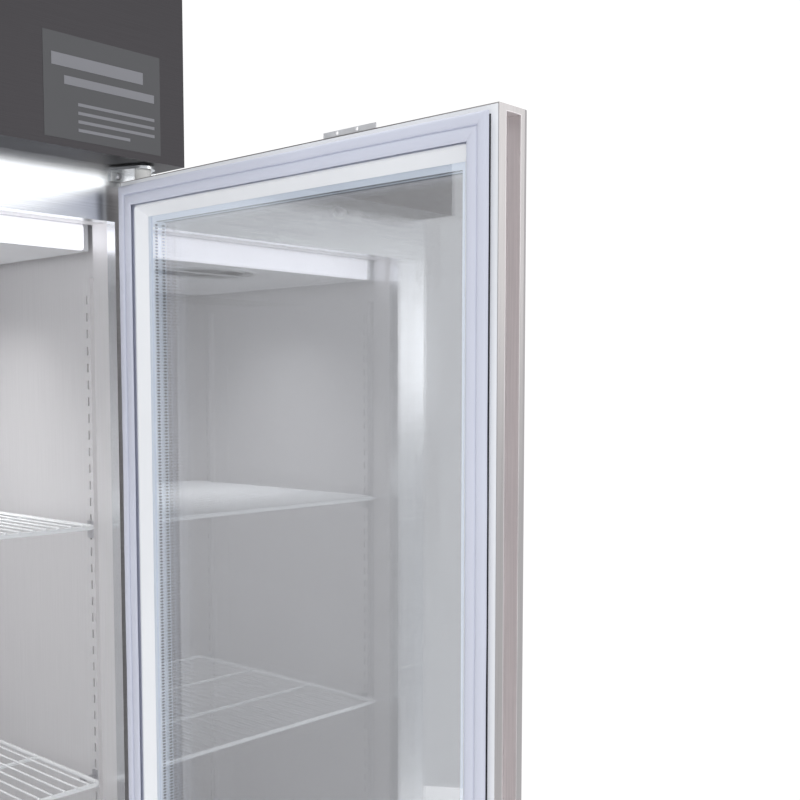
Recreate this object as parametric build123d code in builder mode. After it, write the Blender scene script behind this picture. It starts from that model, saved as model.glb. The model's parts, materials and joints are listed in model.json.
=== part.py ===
from build123d import *
import os

os.makedirs("parts", exist_ok=True)

# Reach-in refrigerator with one glass door, shown open at 90 degrees.
# The front faces -Y, the origin is on the floor under the middle of the whole
# object with its door open. All sizes are in millimetres.

# ---- driving dimensions -------------------------------------------------
CABINET_WIDTH = 730.0
CABINET_DEPTH = 715.0  # from the front frame's face to the back panel
CABINET_HEIGHT = 2080.0
CABINET_BASE = 155.0  # underside of the cabinet, on top of the casters
DECK_TOP = 1885.0  # top of the insulated cabinet
SHEET = 1.0  # stainless sheet
PLATE = 1.5  # heavier folded sheet

OPENING_WIDTH = 584.0
OPENING_LOW = 262.0
OPENING_HIGH = 1732.0
INNER_WIDTH = 630.0
INNER_FLOOR = 250.0
INNER_CEILING = 1835.0
INNER_FRONT = 60.0  # liner's front edge, behind the frame's face
INNER_BACK = 660.0

DOOR_WIDTH = 668.0
DOOR_HEIGHT = 1560.0
DOOR_DEPTH = 55.0
DOOR_BOTTOM = 225.0
SEAL_GAP = 12.0  # closed door's inner face to the frame
PIVOT_INSET = 19.0  # pivot to the door's hinge edge
PIVOT_REACH = 25.0  # pivot in front of the closed door's inner face
STILE = 51.5  # door edge to visible glass
GASKET_INSET = 8.0
GASKET_WIDTH = 28.0
GLASS_START = 10.0  # first pane behind the door's inner face
GLASS_THICK = 4.0
GLASS_PITCH = 12.0  # pane to pane

HEADER_BOTTOM = 1810.0
HEADER_REACH = SEAL_GAP + DOOR_DEPTH  # flush with the closed door

SWITCH_X = -140.0  # door switch, on the frame above the closed door
SWITCH_Z = 1797.5
SWITCH_RADIUS = 7.9
SWITCH_DEPTH = 26.0

SHELF_LEVELS = {"shelf_lower": 514.0, "shelf_middle": 902.0, "shelf_upper": 1290.0}
SHELF_WIDTH = 576.0
SHELF_DEPTH = 540.0
SHELF_FRONT = 50.0  # behind the frame's face
FRAME_WIRE = 3.5
CROSS_WIRE = 3.0
GRID_WIRE = 1.7
GRID_WIRES = 27
FRAME_CORNER = 12.0
PILASTER_SPOTS = (100.0, 580.0)  # behind the frame's face
PILASTER_LOW = 300.0
PILASTER_HIGH = 1660.0
SLOT_PITCH = 25.4

WHEEL_RADIUS = 62.5
WHEEL_WIDTH = 32.0
CASTER_TRAIL = 38.0
AXLE_RADIUS = 5.0
PIN_RADIUS = 6.0
RUNNING_FIT = 0.05

# ---- places worked out from them ----------------------------------------
HALF = CABINET_WIDTH / 2
DOOR_REACH = DOOR_WIDTH + SEAL_GAP + PIVOT_REACH - PIVOT_INSET
FRONT_Y = (DOOR_REACH - CABINET_DEPTH) / 2
BACK_Y = FRONT_Y + CABINET_DEPTH
MID_Y = (FRONT_Y + BACK_Y) / 2
PIVOT_X = DOOR_WIDTH / 2 - PIVOT_INSET
PIVOT_Y = FRONT_Y - SEAL_GAP - PIVOT_REACH
DOOR_X = PIVOT_X - PIVOT_REACH  # inner face of the open door
DOOR_HINGE_Y = PIVOT_Y + PIVOT_INSET
DOOR_FREE_Y = DOOR_HINGE_Y - DOOR_WIDTH
DOOR_TOP = DOOR_BOTTOM + DOOR_HEIGHT
OPENING_HEIGHT = OPENING_HIGH - OPENING_LOW
OPENING_MID = (OPENING_HIGH + OPENING_LOW) / 2

# Upright plane on the frame's face, seen from the front: x right, y up from
# the middle of the opening. Its normal points at the person using it (-Y).
FRONT = Plane(origin=(0, FRONT_Y, OPENING_MID), x_dir=(1, 0, 0), z_dir=(0, -1, 0))
# Upright plane on the open door's inner face: x towards the free edge, y up
# from the door's middle, normal towards the inside (-X).
DOOR = Plane(
    origin=(DOOR_X, DOOR_HINGE_Y - DOOR_WIDTH / 2, DOOR_BOTTOM + DOOR_HEIGHT / 2),
    x_dir=(0, -1, 0),
    z_dir=(-1, 0, 0),
)


def behind(distance):
    """The front plane moved back into the cabinet."""
    return FRONT.offset(-distance)


def into_door(distance):
    """The door plane moved from the inner face towards the outer face."""
    return DOOR.offset(-distance)


def door_ring(outer_inset, inner_inset, outer_radius=0.0, inner_radius=0.0):
    """A rectangular ring on a door plane, given by insets from the door's edge."""
    with BuildSketch() as ring:
        with BuildSketch() as rim:
            Rectangle(DOOR_WIDTH - 2 * outer_inset, DOOR_HEIGHT - 2 * outer_inset)
            if outer_radius:
                fillet(rim.vertices(), outer_radius)
        with BuildSketch(mode=Mode.SUBTRACT) as hole:
            Rectangle(DOOR_WIDTH - 2 * inner_inset, DOOR_HEIGHT - 2 * inner_inset)
            if inner_radius:
                fillet(hole.vertices(), inner_radius)
    return ring.sketch


def opening_ring(inner_grow, outer_grow):
    """A rectangular ring round the cabinet's opening."""
    with BuildSketch() as ring:
        Rectangle(OPENING_WIDTH + 2 * outer_grow, OPENING_HEIGHT + 2 * outer_grow)
        Rectangle(
            OPENING_WIDTH + 2 * inner_grow,
            OPENING_HEIGHT + 2 * inner_grow,
            mode=Mode.SUBTRACT,
        )
    return ring.sketch


def block(x0, x1, y0, y1, z0, z1, mode=Mode.ADD):
    """A box between two corners, added to the part being built."""
    centre = ((x0 + x1) / 2, (y0 + y1) / 2, (z0 + z1) / 2)
    with Locations(centre):
        Box(x1 - x0, y1 - y0, z1 - z0, mode=mode)


# ---- cabinet shell ------------------------------------------------------
with BuildPart() as side_panels:
    with BuildSketch(Plane.XY.offset(CABINET_BASE)):
        with Locations((-HALF + SHEET / 2, MID_Y), (HALF - SHEET / 2, MID_Y)):
            Rectangle(SHEET, CABINET_DEPTH)
    extrude(amount=CABINET_HEIGHT - CABINET_BASE)
side_panels.part.label = "side_panels"
export_step(side_panels.part, "parts/side_panels.step")

IN_HALF = HALF - SHEET  # inside faces of the side panels

with BuildPart() as back_panel:
    block(-IN_HALF, IN_HALF, BACK_Y - SHEET, BACK_Y, CABINET_BASE, DECK_TOP)
back_panel.part.label = "back_panel"
export_step(back_panel.part, "parts/back_panel.step")

with BuildPart() as base_pan:
    block(-IN_HALF, IN_HALF, FRONT_Y + PLATE, BACK_Y - SHEET, CABINET_BASE, CABINET_BASE + PLATE)
base_pan.part.label = "base_pan"
export_step(base_pan.part, "parts/base_pan.step")

with BuildPart() as top_deck:
    block(-IN_HALF, IN_HALF, FRONT_Y + PLATE, BACK_Y - SHEET, DECK_TOP - SHEET, DECK_TOP)
top_deck.part.label = "top_deck"
export_step(top_deck.part, "parts/top_deck.step")

BREAKER_BACK = INNER_FRONT - 3.0
LINER_HALF = INNER_WIDTH / 2 + SHEET
BREAKER_GROW = 5.0

with BuildPart() as insulation:
    block(
        -IN_HALF, IN_HALF,
        FRONT_Y + PLATE, BACK_Y - SHEET,
        CABINET_BASE + PLATE, DECK_TOP - SHEET,
    )
    block(
        -LINER_HALF, LINER_HALF,
        FRONT_Y + BREAKER_BACK, FRONT_Y + INNER_BACK + SHEET,
        INNER_FLOOR - SHEET, INNER_CEILING + SHEET,
        mode=Mode.SUBTRACT,
    )
    with BuildSketch(FRONT):
        Rectangle(OPENING_WIDTH + 2 * BREAKER_GROW, OPENING_HEIGHT + 2 * BREAKER_GROW)
    extrude(amount=-INNER_FRONT, mode=Mode.SUBTRACT)
    # pocket for the door switch
    with Locations((SWITCH_X, FRONT_Y + 20, SWITCH_Z)):
        Box(24, 40, 24, mode=Mode.SUBTRACT)
insulation.part.label = "insulation"
export_step(insulation.part, "parts/insulation.step")

with BuildPart() as inner_liner:
    block(
        -LINER_HALF, LINER_HALF,
        FRONT_Y + INNER_FRONT, FRONT_Y + INNER_BACK + SHEET,
        INNER_FLOOR - SHEET, INNER_CEILING + SHEET,
    )
    block(
        -INNER_WIDTH / 2, INNER_WIDTH / 2,
        FRONT_Y + INNER_FRONT, FRONT_Y + INNER_BACK,
        INNER_FLOOR, INNER_CEILING,
        mode=Mode.SUBTRACT,
    )
inner_liner.part.label = "inner_liner"
export_step(inner_liner.part, "parts/inner_liner.step")

FRAME_RETURN = 20.0

with BuildPart() as front_frame:
    block(-IN_HALF, IN_HALF, FRONT_Y, FRONT_Y + PLATE, CABINET_BASE, DECK_TOP)
    with BuildSketch(FRONT):
        Rectangle(OPENING_WIDTH, OPENING_HEIGHT)
    extrude(amount=-PLATE, mode=Mode.SUBTRACT)
    with BuildSketch(FRONT):
        add(opening_ring(0, PLATE))
    extrude(amount=-FRAME_RETURN)
    # hole for the door switch, above the closed door
    with Locations(Plane(origin=(SWITCH_X, FRONT_Y, SWITCH_Z), z_dir=(0, -1, 0))):
        Hole(SWITCH_RADIUS + 0.1)
front_frame.part.label = "front_frame"
export_step(front_frame.part, "parts/front_frame.step")

with BuildPart() as breaker_strips:
    with BuildSketch(behind(FRAME_RETURN)):
        add(opening_ring(PLATE, BREAKER_GROW))
    extrude(amount=FRAME_RETURN - INNER_FRONT)
    with BuildSketch(Plane.XZ.offset(-(FRONT_Y + BREAKER_BACK))):
        with Locations((0, (INNER_FLOOR + INNER_CEILING) / 2)):
            Rectangle(2 * LINER_HALF, INNER_CEILING - INNER_FLOOR + 2 * SHEET)
        with Locations((0, OPENING_MID)):
            Rectangle(OPENING_WIDTH + 3, OPENING_HEIGHT + 3, mode=Mode.SUBTRACT)
    extrude(amount=-(INNER_FRONT - BREAKER_BACK))
breaker_strips.part.label = "breaker_strips"
export_step(breaker_strips.part, "parts/breaker_strips.step")

# ---- header, grille and controls ----------------------------------------
HEADER_Y = FRONT_Y - HEADER_REACH
CONTROL_X = -265.0
CONTROL_Z = 1945.0
VENT_X = -50.0

with BuildPart() as header_panel:
    block(-HALF, HALF, HEADER_Y, FRONT_Y, HEADER_BOTTOM, CABINET_HEIGHT)
    block(
        -HALF + PLATE, HALF - PLATE,
        HEADER_Y + PLATE, FRONT_Y,
        HEADER_BOTTOM + PLATE, CABINET_HEIGHT - PLATE,
        mode=Mode.SUBTRACT,
    )
    front_face = Plane(origin=(VENT_X, HEADER_Y, CONTROL_Z), x_dir=(1, 0, 0), z_dir=(0, -1, 0))
    with BuildSketch(front_face):
        with GridLocations(130, 20, 2, 6):
            SlotOverall(110, 7)
    extrude(amount=-PLATE, mode=Mode.SUBTRACT)
    block(
        CONTROL_X - 36, CONTROL_X + 36,
        HEADER_Y, HEADER_Y + PLATE,
        CONTROL_Z - 14.5, CONTROL_Z + 14.5,
        mode=Mode.SUBTRACT,
    )
header_panel.part.label = "header_panel"
export_step(header_panel.part, "parts/header_panel.step")

BUTTON_SIZE = 8.0
BUTTON_SPOTS = {"button_up": CONTROL_Z + 6.0, "button_down": CONTROL_Z - 6.0}
BUTTON_X = CONTROL_X + 29.0

with BuildPart() as controller_housing:
    block(
        CONTROL_X - 39, CONTROL_X + 39,
        HEADER_Y - 4, HEADER_Y,
        CONTROL_Z - 17.5, CONTROL_Z + 17.5,
    )
    fillet(controller_housing.edges().filter_by(Axis.Y), 2.5)
    block(
        CONTROL_X - 35.5, CONTROL_X + 35.5,
        HEADER_Y - 1, HEADER_Y + 50,
        CONTROL_Z - 14, CONTROL_Z + 14,
    )
    # shallow window over the display
    block(
        CONTROL_X - 34, CONTROL_X + 18,
        HEADER_Y - 4, HEADER_Y - 3,
        CONTROL_Z - 12, CONTROL_Z + 12,
        mode=Mode.SUBTRACT,
    )
    # pockets for the push buttons
    for level in BUTTON_SPOTS.values():
        block(
            BUTTON_X - BUTTON_SIZE / 2 - 0.3, BUTTON_X + BUTTON_SIZE / 2 + 0.3,
            HEADER_Y - 4, HEADER_Y + 4,
            level - BUTTON_SIZE / 2 - 0.3, level + BUTTON_SIZE / 2 + 0.3,
            mode=Mode.SUBTRACT,
        )
controller_housing.part.label = "controller_housing"
export_step(controller_housing.part, "parts/controller_housing.step")

for name, level in BUTTON_SPOTS.items():
    with BuildPart() as button:
        block(
            BUTTON_X - BUTTON_SIZE / 2, BUTTON_X + BUTTON_SIZE / 2,
            HEADER_Y - 5.5, HEADER_Y + 2,
            level - BUTTON_SIZE / 2, level + BUTTON_SIZE / 2,
        )
        fillet(button.edges().filter_by(Axis.Y), 1.0)
    button.part.label = name
    export_step(button.part, f"parts/{name}.step")

with BuildPart() as rear_grille:
    block(-IN_HALF, IN_HALF, BACK_Y - SHEET, BACK_Y, DECK_TOP, CABINET_HEIGHT)
    grille_face = Plane(
        origin=(0, BACK_Y, (DECK_TOP + CABINET_HEIGHT) / 2), x_dir=(-1, 0, 0), z_dir=(0, 1, 0)
    )
    with BuildSketch(grille_face):
        with Locations((-90, 0)):
            with GridLocations(150, 18, 3, 8):
                SlotOverall(130, 8)
    extrude(amount=-SHEET, mode=Mode.SUBTRACT)
    with Locations(Plane(origin=(-280, BACK_Y, 1925), z_dir=(0, 1, 0))):
        Hole(11.0)
rear_grille.part.label = "rear_grille"
export_step(rear_grille.part, "parts/rear_grille.step")

with BuildPart() as cord_gland:
    with BuildSketch(Plane(origin=(-280, BACK_Y, 1925), z_dir=(0, 1, 0))):
        RegularPolygon(15, 6)
    extrude(amount=8)
    with BuildSketch(Plane(origin=(-280, BACK_Y - 12, 1925), z_dir=(0, 1, 0))):
        Circle(10.9)
    extrude(amount=26)
    with Locations(Plane(origin=(-280, BACK_Y + 14, 1925), z_dir=(0, 1, 0))):
        Hole(4.5)
cord_gland.part.label = "cord_gland"
export_step(cord_gland.part, "parts/cord_gland.step")

# ---- condensing unit on the deck ----------------------------------------
UNIT_BASE_TOP = DECK_TOP + 4.0
COMPRESSOR_X = 190.0
COMPRESSOR_Y = FRONT_Y + 470.0
SHELL_RADIUS = 68.0
COIL_X = -20.0
COIL_WIDTH = 330.0
COIL_FRONT = FRONT_Y + 60.0
COIL_DEPTH = 60.0
COIL_HEIGHT = 170.0
FAN_RADIUS = 72.0
COOLING_FAN_Z = UNIT_BASE_TOP + COIL_HEIGHT / 2
SHROUD_Y = COIL_FRONT + COIL_DEPTH + 50.0

with BuildPart() as unit_base:
    block(-335, 335, FRONT_Y + 30, BACK_Y - 40, DECK_TOP, UNIT_BASE_TOP)
unit_base.part.label = "unit_base"
export_step(unit_base.part, "parts/unit_base.step")

with BuildPart() as compressor:
    with BuildSketch(Plane.XY.offset(UNIT_BASE_TOP)):
        with Locations((COMPRESSOR_X, COMPRESSOR_Y)):
            with GridLocations(150, 100, 2, 2):
                Circle(11)
    extrude(amount=14)
    with BuildSketch(Plane.XY.offset(UNIT_BASE_TOP + 14)):
        with Locations((COMPRESSOR_X, COMPRESSOR_Y)):
            RectangleRounded(185, 135, 18)
    extrude(amount=3)
    with BuildSketch(Plane.XY.offset(UNIT_BASE_TOP + 14)):
        with Locations((COMPRESSOR_X, COMPRESSOR_Y)):
            Circle(SHELL_RADIUS)
    extrude(amount=150)
    fillet(compressor.faces().sort_by(Axis.Z)[-1].edges(), 34)
compressor.part.label = "compressor"
export_step(compressor.part, "parts/compressor.step")

with BuildPart() as condenser_coil:
    block(
        COIL_X - COIL_WIDTH / 2, COIL_X + COIL_WIDTH / 2,
        COIL_FRONT, COIL_FRONT + COIL_DEPTH,
        UNIT_BASE_TOP, UNIT_BASE_TOP + COIL_HEIGHT,
    )
condenser_coil.part.label = "condenser_coil"
export_step(condenser_coil.part, "parts/condenser_coil.step")

with BuildPart() as condenser_fan_shroud:
    block(
        COIL_X - COIL_WIDTH / 2, COIL_X + COIL_WIDTH / 2,
        COIL_FRONT + COIL_DEPTH, SHROUD_Y,
        UNIT_BASE_TOP, UNIT_BASE_TOP + COIL_HEIGHT,
    )
    block(
        COIL_X - COIL_WIDTH / 2 + PLATE, COIL_X + COIL_WIDTH / 2 - PLATE,
        COIL_FRONT + COIL_DEPTH, SHROUD_Y - PLATE,
        UNIT_BASE_TOP, UNIT_BASE_TOP + COIL_HEIGHT - PLATE,
        mode=Mode.SUBTRACT,
    )
    shroud_face = Plane(origin=(COIL_X, SHROUD_Y, COOLING_FAN_Z), z_dir=(0, 1, 0))
    with BuildSketch(shroud_face):
        Circle(FAN_RADIUS + 6)
    extrude(amount=20)
    with BuildSketch(shroud_face.offset(-PLATE)):
        Circle(FAN_RADIUS + 4)
    extrude(amount=20 + PLATE, mode=Mode.SUBTRACT)
condenser_fan_shroud.part.label = "condenser_fan_shroud"
export_step(condenser_fan_shroud.part, "parts/condenser_fan_shroud.step")

MOTOR_SHAFT = 4.0


def fan_blade(hub_plane, tip_radius, hub_radius, blades):
    """A pressed fan: hub with pitched blades, bored for the motor shaft."""
    with BuildPart(hub_plane) as fan:
        Cylinder(hub_radius, 14)
        with PolarLocations((tip_radius + hub_radius) / 2 - 1, blades):
            Box(tip_radius - hub_radius + 2, 34, 1.5, rotation=(24, 0, 0))
        Cylinder(MOTOR_SHAFT + RUNNING_FIT, 14, mode=Mode.SUBTRACT)
    return fan.part


def fan_motor(face_plane, shaft_length, body_radius, body_length):
    """A round motor behind face_plane, its shaft along the plane's normal."""
    with BuildPart() as motor:
        with BuildSketch(face_plane):
            Circle(body_radius)
        extrude(amount=-body_length)
        fillet(motor.edges().filter_by(GeomType.CIRCLE), 6)
        with BuildSketch(face_plane.offset(-2)):
            Circle(MOTOR_SHAFT)
        extrude(amount=shaft_length + 2)
    return motor.part


COOLING_FAN_Y = SHROUD_Y + 6.0
cooling_hub = Plane(origin=(COIL_X, COOLING_FAN_Y, COOLING_FAN_Z), z_dir=(0, -1, 0))
with BuildPart() as condenser_fan_blade:
    add(fan_blade(cooling_hub, FAN_RADIUS, 20, 5))
condenser_fan_blade.part.label = "condenser_fan_blade"
export_step(condenser_fan_blade.part, "parts/condenser_fan_blade.step")

MOTOR_FACE_Y = COOLING_FAN_Y + 22.0
with BuildPart() as condenser_fan_motor:
    add(fan_motor(Plane(origin=(COIL_X, MOTOR_FACE_Y, COOLING_FAN_Z), z_dir=(0, -1, 0)), 26, 38, 62))
    # foot that stands on the unit's base plate
    block(
        COIL_X - 22, COIL_X + 22,
        MOTOR_FACE_Y + 12, MOTOR_FACE_Y + 50,
        UNIT_BASE_TOP, COOLING_FAN_Z,
    )
    block(
        COIL_X - 40, COIL_X + 40,
        MOTOR_FACE_Y + 12, MOTOR_FACE_Y + 50,
        UNIT_BASE_TOP, UNIT_BASE_TOP + 3,
    )
condenser_fan_motor.part.label = "condenser_fan_motor"
export_step(condenser_fan_motor.part, "parts/condenser_fan_motor.step")


def pipe(points, radius, corner):
    """A copper tube: straight runs joined by tangent arcs."""
    with BuildPart() as tube:
        with BuildLine() as route:
            FilletPolyline(*points, radius=corner)
        with BuildSketch(Plane(origin=route.line @ 0, z_dir=route.line % 0)):
            Circle(radius)
        sweep(path=route.line)
    return tube.part


PIPE_RADIUS = 4.0
COIL_SIDE = COIL_X + COIL_WIDTH / 2
EVAPORATOR_PORT = (260.0, FRONT_Y + 520.0)
with BuildPart() as refrigerant_lines:
    # hot gas from the compressor to the condenser
    add(
        pipe(
            [
                (COMPRESSOR_X + SHELL_RADIUS, COMPRESSOR_Y, UNIT_BASE_TOP + 90),
                (COMPRESSOR_X + 105, COMPRESSOR_Y, UNIT_BASE_TOP + 90),
                (COMPRESSOR_X + 105, COIL_FRONT + 30, UNIT_BASE_TOP + 90),
                (COIL_SIDE, COIL_FRONT + 30, UNIT_BASE_TOP + 90),
            ],
            PIPE_RADIUS,
            24,
        )
    )
    # liquid line from the condenser down through the deck
    add(
        pipe(
            [
                (COIL_SIDE, COIL_FRONT + 30, UNIT_BASE_TOP + 30),
                (COIL_SIDE + 60, COIL_FRONT + 30, UNIT_BASE_TOP + 30),
                (COIL_SIDE + 60, FRONT_Y + 330, UNIT_BASE_TOP + 30),
                (COIL_SIDE + 60, FRONT_Y + 330, UNIT_BASE_TOP),
            ],
            PIPE_RADIUS,
            14,
        )
    )
    # suction line from the deck to the compressor
    add(
        pipe(
            [
                (COMPRESSOR_X - SHELL_RADIUS, COMPRESSOR_Y, UNIT_BASE_TOP + 60),
                (COMPRESSOR_X - 110, COMPRESSOR_Y, UNIT_BASE_TOP + 60),
                (COMPRESSOR_X - 110, COMPRESSOR_Y + 90, UNIT_BASE_TOP + 60),
                (COMPRESSOR_X - 110, COMPRESSOR_Y + 90, UNIT_BASE_TOP),
            ],
            PIPE_RADIUS + 1,
            18,
        )
    )
refrigerant_lines.part.label = "refrigerant_lines"
export_step(refrigerant_lines.part, "parts/refrigerant_lines.step")

# ---- evaporator inside the top of the cabinet ---------------------------
SHROUD_LOW = 1698.0
SHROUD_FRONT = FRONT_Y + 82.0
SHROUD_BACK = FRONT_Y + 600.0
SHROUD_HALF = 300.0
BLOWER_Y = FRONT_Y + 200.0
BLOWER_RADIUS = 80.0

with BuildPart() as evaporator_shroud:
    block(-SHROUD_HALF, SHROUD_HALF, SHROUD_FRONT, SHROUD_BACK, SHROUD_LOW, INNER_CEILING)
    block(
        -SHROUD_HALF + PLATE, SHROUD_HALF - PLATE,
        SHROUD_FRONT + PLATE, SHROUD_BACK,
        SHROUD_LOW + PLATE, INNER_CEILING,
        mode=Mode.SUBTRACT,
    )
    with BuildSketch(Plane(origin=(0, BLOWER_Y, SHROUD_LOW), z_dir=(0, 0, 1))):
        Circle(BLOWER_RADIUS + 5)
    extrude(amount=PLATE, mode=Mode.SUBTRACT)
evaporator_shroud.part.label = "evaporator_shroud"
export_step(evaporator_shroud.part, "parts/evaporator_shroud.step")

with BuildPart() as evaporator_coil:
    block(-270, 270, FRONT_Y + 340, FRONT_Y + 540, SHROUD_LOW + 22, INNER_CEILING - 8)
    # hangers up to the ceiling and feet on the shroud
    for side in (-1, 1):
        block(
            side * 262 - 8, side * 262 + 8,
            FRONT_Y + 340, FRONT_Y + 540,
            SHROUD_LOW + PLATE, INNER_CEILING,
        )
evaporator_coil.part.label = "evaporator_coil"
export_step(evaporator_coil.part, "parts/evaporator_coil.step")

BLOWER_Z = SHROUD_LOW + 26.0
BLOWER_FACE = BLOWER_Z + 24.0
with BuildPart() as evaporator_fan_blade:
    add(fan_blade(Plane(origin=(0, BLOWER_Y, BLOWER_Z), z_dir=(0, 0, -1)), BLOWER_RADIUS, 20, 5))
evaporator_fan_blade.part.label = "evaporator_fan_blade"
export_step(evaporator_fan_blade.part, "parts/evaporator_fan_blade.step")

with BuildPart() as evaporator_fan_motor:
    add(fan_motor(Plane(origin=(0, BLOWER_Y, BLOWER_FACE), z_dir=(0, 0, -1)), 28, 32, 45))
    block(-100, 100, BLOWER_Y - 12, BLOWER_Y + 12, BLOWER_FACE + 40, BLOWER_FACE + 43)
    for side in (-1, 1):
        block(
            side * 98.5 - 1.5, side * 98.5 + 1.5,
            BLOWER_Y - 12, BLOWER_Y + 12,
            BLOWER_FACE + 40, INNER_CEILING,
        )
evaporator_fan_motor.part.label = "evaporator_fan_motor"
export_step(evaporator_fan_motor.part, "parts/evaporator_fan_motor.step")

with BuildPart() as evaporator_fan_guard:
    with BuildSketch(Plane(origin=(0, BLOWER_Y, SHROUD_LOW - 2.5), z_dir=(0, 0, 1))):
        for radius in (22, 40, 58, 76, 92):
            Circle(radius)
            Circle(radius - 2.5, mode=Mode.SUBTRACT)
            for inner in [r for r in (22, 40, 58, 76) if r < radius]:
                Circle(inner)
                Circle(inner - 2.5, mode=Mode.SUBTRACT)
        Rectangle(184, 3)
        Rectangle(3, 184)
    extrude(amount=2.5)
evaporator_fan_guard.part.label = "evaporator_fan_guard"
export_step(evaporator_fan_guard.part, "parts/evaporator_fan_guard.step")

with BuildPart() as led_lamp:
    block(-285, 285, FRONT_Y + 70, SHROUD_FRONT, SHROUD_LOW, SHROUD_LOW + 37)
    fillet(led_lamp.faces().sort_by(Axis.Y)[0].edges().filter_by(Axis.X), 5)
led_lamp.part.label = "led_lamp"
export_step(led_lamp.part, "parts/led_lamp.step")

# ---- pilasters, clips and shelves ---------------------------------------
PILASTER_DEPTH = 8.0
PILASTER_WIDTH = 18.0
SLOTS = int((PILASTER_HIGH - PILASTER_LOW - 20) / SLOT_PITCH)

with BuildPart() as pilasters:
    for side in (-1, 1):
        for spot in PILASTER_SPOTS:
            middle = FRONT_Y + spot
            wall = side * INNER_WIDTH / 2
            face = side * (INNER_WIDTH / 2 - PILASTER_DEPTH)
            block(
                min(wall, face), max(wall, face),
                middle - PILASTER_WIDTH / 2, middle + PILASTER_WIDTH / 2,
                PILASTER_LOW, PILASTER_HIGH,
            )
            slot_plane = Plane(
                origin=(face, middle, (PILASTER_LOW + PILASTER_HIGH) / 2),
                x_dir=(0, 1, 0),
                z_dir=(-side, 0, 0),
            )
            with BuildSketch(slot_plane):
                with GridLocations(1, SLOT_PITCH, 1, SLOTS):
                    Rectangle(4, 13)
            extrude(amount=-5, mode=Mode.SUBTRACT)
pilasters.part.label = "pilasters"
export_step(pilasters.part, "parts/pilasters.step")

CLIP_TAB = 2.0
CLIP_REACH = 24.0

with BuildPart() as shelf_clips:
    for level in SHELF_LEVELS.values():
        ledge = level - FRAME_WIRE
        for side in (-1, 1):
            face = INNER_WIDTH / 2 - PILASTER_DEPTH
            for spot in PILASTER_SPOTS:
                middle = FRONT_Y + spot
                tab = sorted((side * face, side * (face - CLIP_TAB)))
                reach = sorted((side * face, side * (face - CLIP_REACH)))
                block(*tab, middle - 7, middle + 7, ledge - 18, ledge + 8)
                block(*reach, middle - 7, middle + 7, ledge - 3, ledge)
shelf_clips.part.label = "shelf_clips"
export_step(shelf_clips.part, "parts/shelf_clips.step")

SHELF_Y = FRONT_Y + SHELF_FRONT + SHELF_DEPTH / 2
FRAME_X = SHELF_WIDTH / 2 - FRAME_WIRE
FRAME_Y = SHELF_DEPTH / 2 - FRAME_WIRE
GRID_SPACING = 2 * FRAME_X / (GRID_WIRES + 1)
CROSS_SPOTS = (-FRAME_Y / 3, FRAME_Y / 3)


def wire_shelf(level):
    """A welded wire shelf: frame, cross wires and the grid laid on top."""
    with BuildPart() as shelf:
        with BuildLine(Plane(origin=(0, SHELF_Y, level))) as frame_route:
            FilletPolyline(
                (-FRAME_X, -FRAME_Y),
                (FRAME_X, -FRAME_Y),
                (FRAME_X, FRAME_Y),
                (-FRAME_X, FRAME_Y),
                radius=FRAME_CORNER,
                close=True,
            )
        start = Plane(origin=frame_route.line @ 0, z_dir=frame_route.line % 0)
        with BuildSketch(start):
            Circle(FRAME_WIRE)
        sweep(path=frame_route.line)
        for spot in CROSS_SPOTS:
            with BuildSketch(Plane(origin=(-FRAME_X, SHELF_Y + spot, level), z_dir=(1, 0, 0))):
                Circle(CROSS_WIRE)
            extrude(amount=2 * FRAME_X)
        top = level + FRAME_WIRE + GRID_WIRE - 1.0
        grid_start = Plane(
            origin=(0, SHELF_Y - FRAME_Y - 2, top), x_dir=(1, 0, 0), z_dir=(0, 1, 0)
        )
        with BuildSketch(grid_start):
            with GridLocations(GRID_SPACING, 1, GRID_WIRES, 1):
                Circle(GRID_WIRE)
        extrude(amount=2 * FRAME_Y + 4)
    return shelf.part


for name, level in SHELF_LEVELS.items():
    with BuildPart() as shelf:
        add(wire_shelf(level))
    shelf.part.label = name
    export_step(shelf.part, f"parts/{name}.step")

# ---- hinges, fasteners and door switch on the cabinet -------------------
BRACKET_PLATE = 4.0
TOP_PLATE_LOW = DOOR_TOP + 18.0
BOTTOM_PLATE_TOP = DOOR_BOTTOM - 14.0
BRACKET_RIGHT = 350.0
BRACKET_LEFT = 284.0
PIN_LENGTH = 38.0


def hinge_plate(low):
    """The flat arm that carries the pin, rounded about the pivot."""
    with BuildPart() as arm:
        with BuildSketch(Plane.XY.offset(low)):
            with BuildLine():
                Polyline(
                    (PIVOT_X - 17, PIVOT_Y),
                    (BRACKET_LEFT, FRONT_Y),
                    (BRACKET_RIGHT, FRONT_Y),
                    (PIVOT_X + 17, PIVOT_Y),
                )
                RadiusArc((PIVOT_X + 17, PIVOT_Y), (PIVOT_X - 17, PIVOT_Y), 17)
            make_face()
        extrude(amount=BRACKET_PLATE)
    return arm.part


with BuildPart() as hinge_bracket_top:
    add(hinge_plate(TOP_PLATE_LOW))
    block(
        BRACKET_LEFT, BRACKET_RIGHT,
        FRONT_Y - BRACKET_PLATE, FRONT_Y,
        DOOR_TOP + 3, TOP_PLATE_LOW + BRACKET_PLATE,
    )
    with BuildSketch(Plane.XY.offset(TOP_PLATE_LOW)):
        with Locations((PIVOT_X, PIVOT_Y)):
            Circle(PIN_RADIUS)
    extrude(amount=-PIN_LENGTH)
hinge_bracket_top.part.label = "hinge_bracket_top"
export_step(hinge_bracket_top.part, "parts/hinge_bracket_top.step")

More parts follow.
